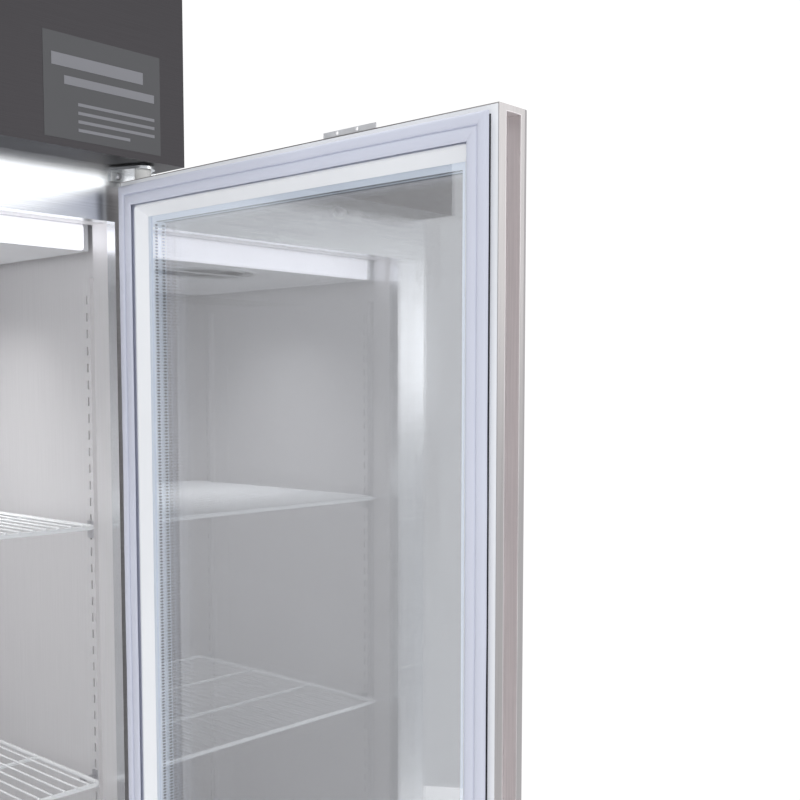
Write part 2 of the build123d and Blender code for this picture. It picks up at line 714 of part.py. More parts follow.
with BuildPart() as hinge_bracket_bottom:
    add(hinge_plate(BOTTOM_PLATE_TOP - BRACKET_PLATE))
    block(
        BRACKET_LEFT, BRACKET_RIGHT,
        FRONT_Y - BRACKET_PLATE, FRONT_Y,
        BOTTOM_PLATE_TOP - 30, BOTTOM_PLATE_TOP,
    )
    with BuildSketch(Plane.XY.offset(BOTTOM_PLATE_TOP)):
        with Locations((PIVOT_X, PIVOT_Y)):
            Circle(PIN_RADIUS)
    extrude(amount=PIN_LENGTH)
hinge_bracket_bottom.part.label = "hinge_bracket_bottom"
export_step(hinge_bracket_bottom.part, "parts/hinge_bracket_bottom.step")

TOP_SCREW_Z = DOOR_TOP + 11.0
BOTTOM_SCREW_Z = BOTTOM_PLATE_TOP - 18.0
with BuildPart() as cabinet_screws:
    for level in (TOP_SCREW_Z, BOTTOM_SCREW_Z):
        for x in (BRACKET_LEFT + 14, BRACKET_RIGHT - 14):
            with BuildSketch(
                Plane(origin=(x, FRONT_Y - BRACKET_PLATE, level), z_dir=(0, -1, 0))
            ):
                Circle(4.5)
            extrude(amount=3)
    fillet(cabinet_screws.faces().group_by(Axis.Y)[0].edges(), 1.5)
cabinet_screws.part.label = "cabinet_screws"
export_step(cabinet_screws.part, "parts/cabinet_screws.step")

PLUNGER_RADIUS = 4.0
with BuildPart() as door_switch_body:
    with BuildSketch(Plane(origin=(SWITCH_X, FRONT_Y, SWITCH_Z), z_dir=(0, -1, 0))):
        Circle(9.5)
    extrude(amount=2)
    with BuildSketch(
        Plane(origin=(SWITCH_X, FRONT_Y + SWITCH_DEPTH, SWITCH_Z), z_dir=(0, -1, 0))
    ):
        Circle(SWITCH_RADIUS)
    extrude(amount=SWITCH_DEPTH + 1)
    with BuildSketch(Plane(origin=(SWITCH_X, FRONT_Y + 20, SWITCH_Z), z_dir=(0, -1, 0))):
        Circle(PLUNGER_RADIUS + RUNNING_FIT)
    extrude(amount=23, mode=Mode.SUBTRACT)
door_switch_body.part.label = "door_switch_body"
export_step(door_switch_body.part, "parts/door_switch_body.step")

with BuildPart() as door_switch_plunger:
    with BuildSketch(Plane(origin=(SWITCH_X, FRONT_Y + 12, SWITCH_Z), z_dir=(0, -1, 0))):
        Circle(PLUNGER_RADIUS)
    extrude(amount=12 + SEAL_GAP - 1.5)
    fillet(door_switch_plunger.faces().sort_by(Axis.Y)[0].edges(), 2)
door_switch_plunger.part.label = "door_switch_plunger"
export_step(door_switch_plunger.part, "parts/door_switch_plunger.step")

# ---- door ---------------------------------------------------------------
GLASS_INSET = STILE - 12.0
GLASS_END = GLASS_START + 2 * GLASS_PITCH + GLASS_THICK
PULL_LOW = 11.5  # pull channel, behind the door's inner face
PULL_HIGH = 38.0
PULL_DEPTH = 18.0
PULL_MARGIN = 6.0
BUSH_BORE = 12.0
OUTER_ROUND = 11.0
BEZEL_OUTER = GASKET_INSET + GASKET_WIDTH + 0.4
CORE_INSET = BEZEL_OUTER - 0.2

# Upright plane on the door's free end: x from the inner to the outer face.
DOOR_END = Plane(
    origin=(DOOR_X, DOOR_FREE_Y, DOOR_BOTTOM + DOOR_HEIGHT / 2),
    x_dir=(1, 0, 0),
    z_dir=(0, -1, 0),
)

with BuildPart() as door_skin:
    with BuildSketch(DOOR):
        Rectangle(DOOR_WIDTH, DOOR_HEIGHT)
    extrude(amount=-DOOR_DEPTH)
    free_edge = door_skin.edges().filter_by(Axis.Z).group_by(Axis.Y)[0].sort_by(Axis.X)[-1]
    fillet(free_edge, OUTER_ROUND)
    with BuildSketch(DOOR) as cavity:
        Rectangle(DOOR_WIDTH - 2 * SHEET, DOOR_HEIGHT - 2 * SHEET)
    extrude(amount=-(DOOR_DEPTH - OUTER_ROUND), mode=Mode.SUBTRACT)
    with BuildSketch(into_door(DOOR_DEPTH - OUTER_ROUND)):
        Rectangle(DOOR_WIDTH - 2 * OUTER_ROUND, DOOR_HEIGHT - 2 * SHEET)
    extrude(amount=-(OUTER_ROUND - SHEET), mode=Mode.SUBTRACT)
    with BuildSketch(DOOR):
        Rectangle(DOOR_WIDTH - 2 * STILE, DOOR_HEIGHT - 2 * STILE)
    extrude(amount=-DOOR_DEPTH, mode=Mode.SUBTRACT)
    # folded return that holds the outer pane
    with BuildSketch(into_door(GLASS_END)):
        add(door_ring(STILE - PLATE, STILE))
    extrude(amount=-(DOOR_DEPTH - GLASS_END))
    # slot for the pull channel and holes for the hinge pins
    with BuildSketch(DOOR_END):
        with Locations(((PULL_LOW + PULL_HIGH) / 2, 0)):
            Rectangle(PULL_HIGH - PULL_LOW, DOOR_HEIGHT - 2 * PULL_MARGIN)
    extrude(amount=-PULL_DEPTH, mode=Mode.SUBTRACT)
    with BuildSketch(Plane.XY.offset(DOOR_BOTTOM - 1)):
        with Locations((PIVOT_X, PIVOT_Y)):
            Circle(BUSH_BORE)
    extrude(amount=DOOR_HEIGHT + 2, mode=Mode.SUBTRACT)
door_skin.part.label = "door_skin"
export_step(door_skin.part, "parts/door_skin.step")

LINER_THICK = 2.0
BEZEL_ROUND = 8.0
with BuildPart() as door_core:
    with BuildSketch(into_door(LINER_THICK)):
        add(door_ring(SHEET, CORE_INSET))
    extrude(amount=-(DOOR_DEPTH - OUTER_ROUND - LINER_THICK))
    with BuildSketch(into_door(DOOR_DEPTH - OUTER_ROUND)):
        with BuildSketch() as outer_layer:
            Rectangle(DOOR_WIDTH - 2 * OUTER_ROUND, DOOR_HEIGHT - 2 * SHEET)
            Rectangle(
                DOOR_WIDTH - 2 * CORE_INSET,
                DOOR_HEIGHT - 2 * CORE_INSET,
                mode=Mode.SUBTRACT,
            )
    extrude(amount=-(OUTER_ROUND - SHEET))
    with BuildSketch(DOOR_END):
        with Locations(((PULL_LOW + PULL_HIGH) / 2, 0)):
            Rectangle(PULL_HIGH - PULL_LOW, DOOR_HEIGHT - 2 * PULL_MARGIN)
    extrude(amount=-PULL_DEPTH, mode=Mode.SUBTRACT)
    with BuildSketch(Plane.XY.offset(DOOR_BOTTOM - 1)):
        with Locations((PIVOT_X, PIVOT_Y)):
            Circle(BUSH_BORE)
    extrude(amount=DOOR_HEIGHT + 2, mode=Mode.SUBTRACT)
door_core.part.label = "door_core"
export_step(door_core.part, "parts/door_core.step")

with BuildPart() as pull_channel:
    with BuildSketch(DOOR_END):
        with Locations(((PULL_LOW + PULL_HIGH) / 2, 0)):
            Rectangle(PULL_HIGH - PULL_LOW, DOOR_HEIGHT - 2 * PULL_MARGIN)
    extrude(amount=-PULL_DEPTH)
    with BuildSketch(DOOR_END):
        with Locations(((PULL_LOW + PULL_HIGH) / 2, 0)):
            Rectangle(
                PULL_HIGH - PULL_LOW - 2 * SHEET, DOOR_HEIGHT - 2 * PULL_MARGIN - 2 * SHEET
            )
    extrude(amount=-(PULL_DEPTH - SHEET), mode=Mode.SUBTRACT)
pull_channel.part.label = "pull_channel"
export_step(pull_channel.part, "parts/pull_channel.step")

with BuildPart() as door_liner:
    with BuildSketch(DOOR):
        add(door_ring(SHEET + 0.2, BEZEL_OUTER, 0, BEZEL_ROUND))
    extrude(amount=-LINER_THICK)
door_liner.part.label = "door_liner"
export_step(door_liner.part, "parts/door_liner.step")

BEZEL_PROUD = 3.0
BEZEL_SLOPE = 44.0
with BuildPart() as glazing_bezel:
    with BuildSketch(into_door(GLASS_START)) as rim:
        Rectangle(DOOR_WIDTH - 2 * BEZEL_OUTER, DOOR_HEIGHT - 2 * BEZEL_OUTER)
        fillet(rim.vertices(), BEZEL_ROUND)
    extrude(amount=GLASS_START + BEZEL_PROUD)
    # sloping face from the rim down to the glass
    with BuildSketch(into_door(GLASS_START)):
        Rectangle(DOOR_WIDTH - 2 * STILE, DOOR_HEIGHT - 2 * STILE)
    extrude(amount=GLASS_START + BEZEL_PROUD, taper=-BEZEL_SLOPE, mode=Mode.SUBTRACT)
glazing_bezel.part.label = "glazing_bezel"
export_step(glazing_bezel.part, "parts/glazing_bezel.step")

for count, name in enumerate(("glass_inner", "glass_middle", "glass_outer")):
    with BuildPart() as pane:
        with BuildSketch(into_door(GLASS_START + count * GLASS_PITCH)):
            Rectangle(DOOR_WIDTH - 2 * GLASS_INSET, DOOR_HEIGHT - 2 * GLASS_INSET)
        extrude(amount=-GLASS_THICK)
    pane.part.label = name
    export_step(pane.part, f"parts/{name}.step")

with BuildPart() as glass_spacers:
    for count in (0, 1):
        with BuildSketch(into_door(GLASS_START + GLASS_THICK + count * GLASS_PITCH)):
            add(door_ring(GLASS_INSET + 4, STILE + 7))
        extrude(amount=-(GLASS_PITCH - GLASS_THICK))
glass_spacers.part.label = "glass_spacers"
export_step(glass_spacers.part, "parts/glass_spacers.step")

BULB_WIDTH = 13.0
BULB_PROUD = SEAL_GAP - 1.0
BULB_ROUND = 5.0  # keeps the seal clear of the frame as the door swings
FIN_PROUD = 3.0
with BuildPart() as door_gasket:
    with BuildSketch(DOOR):
        add(door_ring(GASKET_INSET, GASKET_INSET + GASKET_WIDTH))
    extrude(amount=FIN_PROUD)
    with BuildSketch(DOOR):
        add(door_ring(GASKET_INSET, GASKET_INSET + BULB_WIDTH))
    extrude(amount=BULB_PROUD)
    fillet(door_gasket.faces().sort_by(Axis.X)[0].outer_wire().edges(), BULB_ROUND)
door_gasket.part.label = "door_gasket"
export_step(door_gasket.part, "parts/door_gasket.step")

ACTUATOR_NEAR = 174.0  # from the door's free end
ACTUATOR_FAR = 258.0
ACTUATOR_HEIGHT = 7.0
ACTUATOR_HOLES = (0.27, 0.65)  # shares of its length, from the hinge side
ACTUATOR_LENGTH = ACTUATOR_FAR - ACTUATOR_NEAR
with BuildPart() as switch_actuator:
    block(
        DOOR_X + 2, DOOR_X + 28,
        DOOR_FREE_Y + ACTUATOR_NEAR, DOOR_FREE_Y + ACTUATOR_FAR,
        DOOR_TOP, DOOR_TOP + PLATE,
    )
    block(
        DOOR_X + 2, DOOR_X + 2 + PLATE,
        DOOR_FREE_Y + ACTUATOR_NEAR, DOOR_FREE_Y + ACTUATOR_FAR,
        DOOR_TOP, DOOR_TOP + ACTUATOR_HEIGHT,
    )
    for share in ACTUATOR_HOLES:
        hole_y = DOOR_FREE_Y + ACTUATOR_FAR - share * ACTUATOR_LENGTH
        with Locations(Plane(origin=(DOOR_X + 2, hole_y, DOOR_TOP + 4.2), z_dir=(-1, 0, 0))):
            Hole(2.2, depth=PLATE)
switch_actuator.part.label = "switch_actuator"
export_step(switch_actuator.part, "parts/switch_actuator.step")

with BuildPart() as door_screws:
    for share in ACTUATOR_HOLES:
        screw_y = DOOR_FREE_Y + ACTUATOR_FAR - share * ACTUATOR_LENGTH
        with BuildSketch(Plane.XY.offset(DOOR_TOP + PLATE)):
            with Locations((DOOR_X + 18, screw_y)):
                Circle(4.0)
        extrude(amount=2.8)
    fillet(door_screws.faces().group_by(Axis.Z)[-1].edges(), 1.5)
door_screws.part.label = "door_screws"
export_step(door_screws.part, "parts/door_screws.step")

with BuildPart() as hinge_bush:
    with BuildSketch(Plane.XY.offset(DOOR_TOP)):
        with Locations((PIVOT_X, PIVOT_Y)):
            Circle(11.5)
    extrude(amount=TOP_PLATE_LOW - DOOR_TOP - 0.3)
    with BuildSketch(Plane.XY.offset(DOOR_TOP - 30)):
        with Locations((PIVOT_X, PIVOT_Y)):
            Circle(BUSH_BORE - 0.2)
    extrude(amount=30)
    with BuildSketch(Plane.XY.offset(DOOR_TOP - 28)):
        with Locations((PIVOT_X, PIVOT_Y)):
            Circle(PIN_RADIUS + RUNNING_FIT)
    extrude(amount=60, mode=Mode.SUBTRACT)
hinge_bush.part.label = "hinge_bush"
export_step(hinge_bush.part, "parts/hinge_bush.step")

with BuildPart() as closer_cartridge:
    with BuildSketch(Plane.XY.offset(BOTTOM_PLATE_TOP + 0.3)):
        with Locations((PIVOT_X, PIVOT_Y)):
            Circle(11.5)
    extrude(amount=DOOR_BOTTOM - BOTTOM_PLATE_TOP - 0.3)
    with BuildSketch(Plane.XY.offset(DOOR_BOTTOM)):
        with Locations((PIVOT_X, PIVOT_Y)):
            Circle(BUSH_BORE - 0.2)
    extrude(amount=60)
    with BuildSketch(Plane.XY.offset(BOTTOM_PLATE_TOP)):
        with Locations((PIVOT_X, PIVOT_Y)):
            Circle(PIN_RADIUS + RUNNING_FIT)
    extrude(amount=PIN_LENGTH + 2, mode=Mode.SUBTRACT)
closer_cartridge.part.label = "closer_cartridge"
export_step(closer_cartridge.part, "parts/closer_cartridge.step")

# ---- casters ------------------------------------------------------------
CASTER_SPOTS = {
    "front_left": (-HALF + 65, FRONT_Y + 70),
    "front_right": (HALF - 65, FRONT_Y + 70),
    "rear_left": (-HALF + 65, BACK_Y - 110),
    "rear_right": (HALF - 65, BACK_Y - 110),
}
CASTER_PLATE = 5.0
RACE_HEIGHT = 12.0
RACE_RADIUS = 24.0
FORK_TOP = CABINET_BASE - CASTER_PLATE - RACE_HEIGHT
FORK_SHEET = 4.0
FORK_GAP = WHEEL_WIDTH + 4.0

with BuildPart() as caster_plates:
    for spot in CASTER_SPOTS.values():
        with BuildSketch(Plane.XY.offset(CABINET_BASE - CASTER_PLATE)):
            with Locations(spot):
                RectangleRounded(96, 88, 6)
                with GridLocations(76, 66, 2, 2):
                    Circle(4.5, mode=Mode.SUBTRACT)
        extrude(amount=CASTER_PLATE)
        with BuildSketch(Plane.XY.offset(FORK_TOP + 0.3)):
            with Locations(spot):
                Circle(RACE_RADIUS)
        extrude(amount=RACE_HEIGHT - 0.3)
caster_plates.part.label = "caster_plates"
export_step(caster_plates.part, "parts/caster_plates.step")


def caster_fork(spot):
    """A pressed fork with its axle, turned so the wheel trails to the back."""
    axle = (spot[0], spot[1] + CASTER_TRAIL, WHEEL_RADIUS)
    half_gap = FORK_GAP / 2
    with BuildPart() as fork:
        with BuildSketch(Plane.XY.offset(FORK_TOP - FORK_SHEET)):
            with Locations((spot[0], spot[1] + 6)):
                RectangleRounded(FORK_GAP + 2 * FORK_SHEET, 60, 4)
        extrude(amount=FORK_SHEET)
        for side in (-1, 1):
            face = spot[0] + side * half_gap
            with BuildSketch(Plane(origin=(face, 0, 0), x_dir=(0, 1, 0), z_dir=(1, 0, 0))):
                with BuildLine():
                    Polyline(
                        (spot[1] - 22, FORK_TOP),
                        (spot[1] + 34, FORK_TOP),
                        (axle[1] + 13, WHEEL_RADIUS),
                    )
                    RadiusArc((axle[1] + 13, WHEEL_RADIUS), (axle[1] - 13, WHEEL_RADIUS), 13)
                    Line((axle[1] - 13, WHEEL_RADIUS), (spot[1] - 22, FORK_TOP))
                make_face()
            extrude(amount=side * FORK_SHEET)
        with BuildSketch(Plane(origin=(spot[0] - half_gap - 8, 0, 0), x_dir=(0, 1, 0), z_dir=(1, 0, 0))):
            with Locations((axle[1], axle[2])):
                Circle(AXLE_RADIUS)
        extrude(amount=FORK_GAP + 16)
    return fork.part


def caster_wheel(spot):
    """A tyred wheel with a hub that stands a little proud of the tread."""
    axle = (spot[0], spot[1] + CASTER_TRAIL, WHEEL_RADIUS)
    with BuildPart(Plane(origin=axle, z_dir=(1, 0, 0))) as wheel:
        Cylinder(WHEEL_RADIUS, WHEEL_WIDTH)
        fillet(wheel.edges().filter_by(GeomType.CIRCLE), 5)
        Cylinder(14, WHEEL_WIDTH + 3)
        Cylinder(AXLE_RADIUS + RUNNING_FIT, WHEEL_WIDTH + 4, mode=Mode.SUBTRACT)
    return wheel.part


for place, spot in CASTER_SPOTS.items():
    with BuildPart() as fork:
        add(caster_fork(spot))
    fork.part.label = f"caster_fork_{place}"
    export_step(fork.part, f"parts/caster_fork_{place}.step")
    with BuildPart() as wheel:
        add(caster_wheel(spot))
    wheel.part.label = f"caster_wheel_{place}"
    export_step(wheel.part, f"parts/caster_wheel_{place}.step")
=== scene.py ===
import json
import math

import bpy
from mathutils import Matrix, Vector


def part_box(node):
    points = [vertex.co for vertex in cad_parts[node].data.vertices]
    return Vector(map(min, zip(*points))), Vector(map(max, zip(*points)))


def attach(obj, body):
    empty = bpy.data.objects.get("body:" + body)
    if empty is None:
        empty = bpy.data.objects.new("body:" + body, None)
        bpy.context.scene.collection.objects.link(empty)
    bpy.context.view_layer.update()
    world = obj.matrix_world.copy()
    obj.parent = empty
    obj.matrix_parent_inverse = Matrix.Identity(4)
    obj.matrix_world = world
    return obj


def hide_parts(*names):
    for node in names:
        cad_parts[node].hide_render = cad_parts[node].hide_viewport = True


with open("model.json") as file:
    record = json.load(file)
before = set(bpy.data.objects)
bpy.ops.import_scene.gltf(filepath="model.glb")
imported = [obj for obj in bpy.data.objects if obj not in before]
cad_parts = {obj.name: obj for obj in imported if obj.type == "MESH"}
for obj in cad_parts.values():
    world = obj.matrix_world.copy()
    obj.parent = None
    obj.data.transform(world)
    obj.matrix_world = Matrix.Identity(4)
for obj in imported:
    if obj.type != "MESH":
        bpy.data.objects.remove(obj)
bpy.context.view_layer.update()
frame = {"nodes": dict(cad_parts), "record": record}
nodes = frame["nodes"]
MM = 0.001


# ---- materials --------------------------------------------------------------
def start_material(name):
    """An empty node material, its tree and a principled shader wired to its output."""
    material = bpy.data.materials.new(name)
    material.use_nodes = True
    tree = material.node_tree
    tree.nodes.clear()
    output = tree.nodes.new("ShaderNodeOutputMaterial")
    shader = tree.nodes.new("ShaderNodeBsdfPrincipled")
    tree.links.new(shader.outputs["BSDF"], output.inputs["Surface"])
    return material, tree, shader


def noise(tree, scale, stretch=(1, 1, 1), detail=4):
    """Noise in object coordinates, stretched so that it can follow a grain."""
    place = tree.nodes.new("ShaderNodeTexCoord")
    mapping = tree.nodes.new("ShaderNodeMapping")
    mapping.inputs["Scale"].default_value = stretch
    texture = tree.nodes.new("ShaderNodeTexNoise")
    texture.inputs["Scale"].default_value = scale
    texture.inputs["Detail"].default_value = detail
    tree.links.new(place.outputs["Object"], mapping.inputs["Vector"])
    tree.links.new(mapping.outputs["Vector"], texture.inputs["Vector"])
    return texture.outputs["Fac"]


def colour_from(tree, factor, dark, light, low=0.3, high=0.7):
    """A colour between dark and light, by the factor's place between low and high."""
    ramp = tree.nodes.new("ShaderNodeValToRGB")
    ramp.color_ramp.elements[0].position = low
    ramp.color_ramp.elements[0].color = (*dark, 1)
    ramp.color_ramp.elements[1].position = high
    ramp.color_ramp.elements[1].color = (*light, 1)
    tree.links.new(factor, ramp.inputs["Fac"])
    return ramp.outputs["Color"]


def spread(tree, factor, low, high):
    """Moves a factor of 0 to 1 onto low to high."""
    span = tree.nodes.new("ShaderNodeMapRange")
    span.inputs["To Min"].default_value = low
    span.inputs["To Max"].default_value = high
    tree.links.new(factor, span.inputs["Value"])
    return span.outputs["Result"]


def bump(tree, shader, factor, strength, distance=0.0005):
    node = tree.nodes.new("ShaderNodeBump")
    node.inputs["Strength"].default_value = strength
    node.inputs["Distance"].default_value = distance
    tree.links.new(factor, node.inputs["Height"])
    tree.links.new(node.outputs["Normal"], shader.inputs["Normal"])


def shade(colour, share):
    """The colour made lighter or darker, kept within 0 to 1."""
    return tuple(min(1.0, max(0.0, value * share)) for value in colour)


def metal(name, colour, roughness, grain=None, bump_strength=0.04, contrast=0.08, metallic=1.0):
    """Sheet metal. grain is the direction of the brushing, None for a dull finish without one."""
    material, tree, shader = start_material(name)
    shader.inputs["Metallic"].default_value = metallic
    if grain is None:
        fine = noise(tree, 60.0)
    else:
        stretch = tuple(1.0 if axis == grain else 90.0 for axis in "xyz")
        fine = noise(tree, 9.0, stretch, 6)
    tone = colour_from(tree, fine, shade(colour, 1 - contrast), shade(colour, 1 + contrast))
    tree.links.new(tone, shader.inputs["Base Color"])
    level = spread(tree, fine, roughness * 0.8, roughness * 1.2)
    tree.links.new(level, shader.inputs["Roughness"])
    bump(tree, shader, fine, bump_strength)
    return material


def solid(name, colour, roughness, grain_scale=300.0, bump_strength=0.05, contrast=0.04, coat=0.0):
    """Paint, plastic, rubber or foam with a fine texture."""
    material, tree, shader = start_material(name)
    shader.inputs["Coat Weight"].default_value = coat
    shader.inputs["Coat Roughness"].default_value = 0.12
    fine = noise(tree, grain_scale)
    broad = noise(tree, 3.0)
    tone = colour_from(tree, broad, shade(colour, 1 - contrast), shade(colour, 1 + contrast))
    tree.links.new(tone, shader.inputs["Base Color"])
    tree.links.new(spread(tree, broad, roughness * 0.9, roughness * 1.1), shader.inputs["Roughness"])
    bump(tree, shader, fine, bump_strength, 0.0003)
    return material


def pane(name, tint, reflectance, pale_tint):
    """Coated glass: a tinted see-through part under a mirror part that grows at grazing angles."""
    material = bpy.data.materials.new(name)
    material.use_nodes = True
    tree = material.node_tree
    tree.nodes.clear()
    output = tree.nodes.new("ShaderNodeOutputMaterial")
    through = tree.nodes.new("ShaderNodeBsdfTransparent")
    mirror = tree.nodes.new("ShaderNodeBsdfGlossy")
    mirror.inputs["Roughness"].default_value = 0.0
    mirror.inputs["Color"].default_value = (0.97, 0.98, 1.0, 1)
    both = tree.nodes.new("ShaderNodeMixShader")
    facing = tree.nodes.new("ShaderNodeLayerWeight")
    facing.inputs["Blend"].default_value = 0.5
    share = spread(tree, facing.outputs["Facing"], reflectance[0], reflectance[1])
    haze = colour_from(tree, noise(tree, 2.2), tint, pale_tint, 0.35, 0.65)
    tree.links.new(haze, through.inputs["Color"])
    tree.links.new(share, both.inputs["Fac"])
    tree.links.new(through.outputs["BSDF"], both.inputs[1])
    tree.links.new(mirror.outputs["BSDF"], both.inputs[2])
    tree.links.new(both.outputs["Shader"], output.inputs["Surface"])
    return material


def glowing(name, colour, strength):
    """A surface that gives off a little of its own colour."""
    material, tree, shader = start_material(name)
    tone = colour_from(tree, noise(tree, 120.0), shade(colour, 0.97), colour)
    tree.links.new(tone, shader.inputs["Base Color"])
    tree.links.new(tone, shader.inputs["Emission Color"])
    shader.inputs["Emission Strength"].default_value = strength
    shader.inputs["Roughness"].default_value = 0.4
    return material


MATERIALS = {
    "stainless_outer": metal("stainless outer", (0.66, 0.655, 0.66), 0.28, "z"),
    "stainless_inner": metal("stainless inner", (0.88, 0.87, 0.875), 0.5, "z", 0.02, 0.03, 0.68),
    "stainless_bright": metal("stainless bright", (0.86, 0.875, 0.89), 0.24, "x"),
    "stainless_door": metal("stainless door", (0.61, 0.58, 0.572), 0.3, "z", 0.02, 0.05),
    "galvanised": metal("galvanised", (0.6, 0.61, 0.62), 0.5, None, 0.01, 0.05),
    "foam": solid("foam", (0.86, 0.78, 0.55), 0.9, 160.0, 0.3),
    "header_charcoal": metal("header charcoal", (0.07, 0.066, 0.07), 0.42, "x", 0.05, 0.1),
    "black_plastic": solid("black plastic", (0.025, 0.025, 0.03), 0.45),
    "button_grey": solid("button grey", (0.35, 0.36, 0.38), 0.4),
    "compressor_black": solid("compressor black", (0.018, 0.018, 0.02), 0.25, coat=0.4),
    "aluminium_fins": metal("aluminium fins", (0.75, 0.76, 0.78), 0.38, "z"),
    "copper": metal("copper", (0.78, 0.4, 0.24), 0.28, None, 0.03, 0.12),
    "shroud_white": solid("shroud white", (0.84, 0.85, 0.87), 0.35, coat=0.3),
    "lamp_diffuser": glowing("lamp diffuser", (0.95, 0.95, 1.0), 0.7),
    "zinc": metal("zinc", (0.7, 0.7, 0.72), 0.34, None, 0.02),
    "shelf_white": solid("shelf white", (0.8, 0.81, 0.82), 0.3, coat=0.5),
    "white_plastic": solid("white plastic", (0.92, 0.93, 0.95), 0.38, coat=0.2),
    "nylon": solid("nylon", (0.85, 0.85, 0.83), 0.5),
    # The spacer bars give off light of their own: a painted glow that stands in for light falling on them.
    "spacer_aluminium": glowing("spacer", (0.74, 0.79, 0.86), 0.3),
    "gasket_grey": solid("gasket", (0.66, 0.68, 0.78), 0.42, 500.0, 0.03),
    "wheel_rubber": solid("wheel rubber", (0.1, 0.1, 0.11), 0.6),
}
PANES = {
    "glass_inner": pane("glass inner", (0.96, 0.965, 0.97), (0.13, 0.5), (0.97, 0.975, 0.98)),
    "glass_middle": pane("glass middle", (0.95, 0.955, 0.96), (0.01, 0.05), (0.96, 0.965, 0.97)),
    "glass_outer": pane("glass outer", (0.79, 0.785, 0.79), (0.12, 0.5), (0.81, 0.805, 0.81)),
}

SLOT_OF = {entry["node"]: entry["material_slot"] for entry in frame["record"]["subparts"]}


def dress(obj, material):
    """Gives the whole object one material."""
    obj.data.materials.clear()
    obj.data.materials.append(material)
    for polygon in obj.data.polygons:
        polygon.material_index = 0


for name, obj in nodes.items():
    slot_name = SLOT_OF[name]
    dress(obj, PANES[name] if name in PANES else MATERIALS[slot_name])
dress(nodes["pull_channel"], metal("pull channel", (0.86, 0.82, 0.82), 0.5, "z", 0.03, 0.07))
dress(nodes["switch_actuator"], metal("actuator", (0.88, 0.88, 0.89), 0.65, None, 0.01, 0.05))


# ---- mesh building ----------------------------------------------------------
class Shape:
    """Vertices and faces gathered for one piece."""

    def __init__(self):
        self.points = []
        self.faces = []

    def box(self, low, high):
        """A block between two corners."""
        base = len(self.points)
        for x in (low[0], high[0]):
            for y in (low[1], high[1]):
                for z in (low[2], high[2]):
                    self.points.append(Vector((x, y, z)))
        for face in ((0, 1, 3, 2), (4, 6, 7, 5), (0, 4, 5, 1), (2, 3, 7, 6), (0, 2, 6, 4), (1, 5, 7, 3)):
            self.faces.append(tuple(base + corner for corner in face))

    def loops(self, loops, closed=False, caps=True):
        """Skins a list of equal loops of points; closed joins the last to the first."""
        base = len(self.points)
        count = len(loops[0])
        for loop in loops:
            self.points.extend(loop)
        pairs = len(loops) if closed else len(loops) - 1
        for row in range(pairs):
            here = base + row * count
            there = base + (row + 1) % len(loops) * count
            for step in range(count):
                after = (step + 1) % count
                self.faces.append((here + step, here + after, there + after, there + step))
        if caps and not closed:
            self.faces.append(tuple(base + step for step in reversed(range(count))))
            last = base + (len(loops) - 1) * count
            self.faces.append(tuple(last + step for step in range(count)))

    def tube(self, path, radius, sides=10):
        """A round tube along a list of points, turned smoothly from point to point."""
        path = [Vector(point) for point in path]
        last = len(path) - 1
        loops = []
        side = None
        for at, point in enumerate(path):
            along = (path[min(at + 1, last)] - path[max(at - 1, 0)]).normalized()
            if side is None:
                side = along.orthogonal()
            side = (side - along * side.dot(along)).normalized()
            other = along.cross(side)
            loops.append([
                point + radius * (math.cos(turn) * side + math.sin(turn) * other)
                for turn in (2 * math.pi * step / sides for step in range(sides))
            ])
        self.loops(loops)

    def lathe(self, profile, centre, axis, sides=48):
        """Turns a closed profile of (radius, height) points about an axis."""
        centre = Vector(centre)
        axis = Vector(axis).normalized()
        side = axis.orthogonal().normalized()
        other = axis.cross(side)
        loops = []
        for step in range(sides):
            turn = 2 * math.pi * step / sides
            out = math.cos(turn) * side + math.sin(turn) * other
            loops.append([centre + out * radius + axis * height for radius, height in profile])
        self.loops(loops, closed=True)

    def make(self, name, body, slot_name, replaces=(), material=None, smooth=35.0):
        """Builds the piece, shaded smooth up to an angle in degrees, and lets it ride on its body."""
        mesh = bpy.data.meshes.new(name)
        mesh.from_pydata([tuple(point) for point in self.points], [], self.faces)
        mesh.validate()
        obj = bpy.data.objects.new(name, mesh)
        bpy.context.scene.collection.objects.link(obj)
        bpy.context.view_layer.objects.active = obj
        obj.select_set(True)
        bpy.ops.object.mode_set(mode="EDIT")
        bpy.ops.mesh.select_all(action="SELECT")
        bpy.ops.mesh.normals_make_consistent(inside=False)
        bpy.ops.object.mode_set(mode="OBJECT")
        obj.select_set(False)
        mesh.shade_smooth()
        mesh.set_sharp_from_angle(angle=math.radians(smooth))
        dress(obj, material or MATERIALS[slot_name])
        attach(obj, body)
        if replaces:
            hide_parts(*replaces)
        return obj


def islands(node):
    """(lowest corner, highest corner) of each loose piece of a CAD node."""
    mesh = nodes[node].data
    leader = list(range(len(mesh.vertices)))

    def find(at):
        while leader[at] != at:
            leader[at] = leader[leader[at]]
            at = leader[at]
        return at

    same = {}
    for vertex in mesh.vertices:
        key = tuple(round(value, 5) for value in vertex.co)
        if key in same:
            leader[find(vertex.index)] = find(same[key])
        same[key] = vertex.index
    for edge in mesh.edges:
        leader[find(edge.vertices[0])] = find(edge.vertices[1])
    groups = {}
    for vertex in mesh.vertices:
        groups.setdefault(find(vertex.index), []).append(vertex.co)
    boxes = []
    for points in groups.values():
        low = Vector(min(point[axis] for point in points) for axis in range(3))
        high = Vector(max(point[axis] for point in points) for axis in range(3))
        boxes.append((low, high))
    return sorted(boxes, key=lambda box: tuple(box[0]))


# ---- door seal --------------------------------------------------------------
door_low, door_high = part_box("door_skin")
FACE_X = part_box("door_liner")[0].x
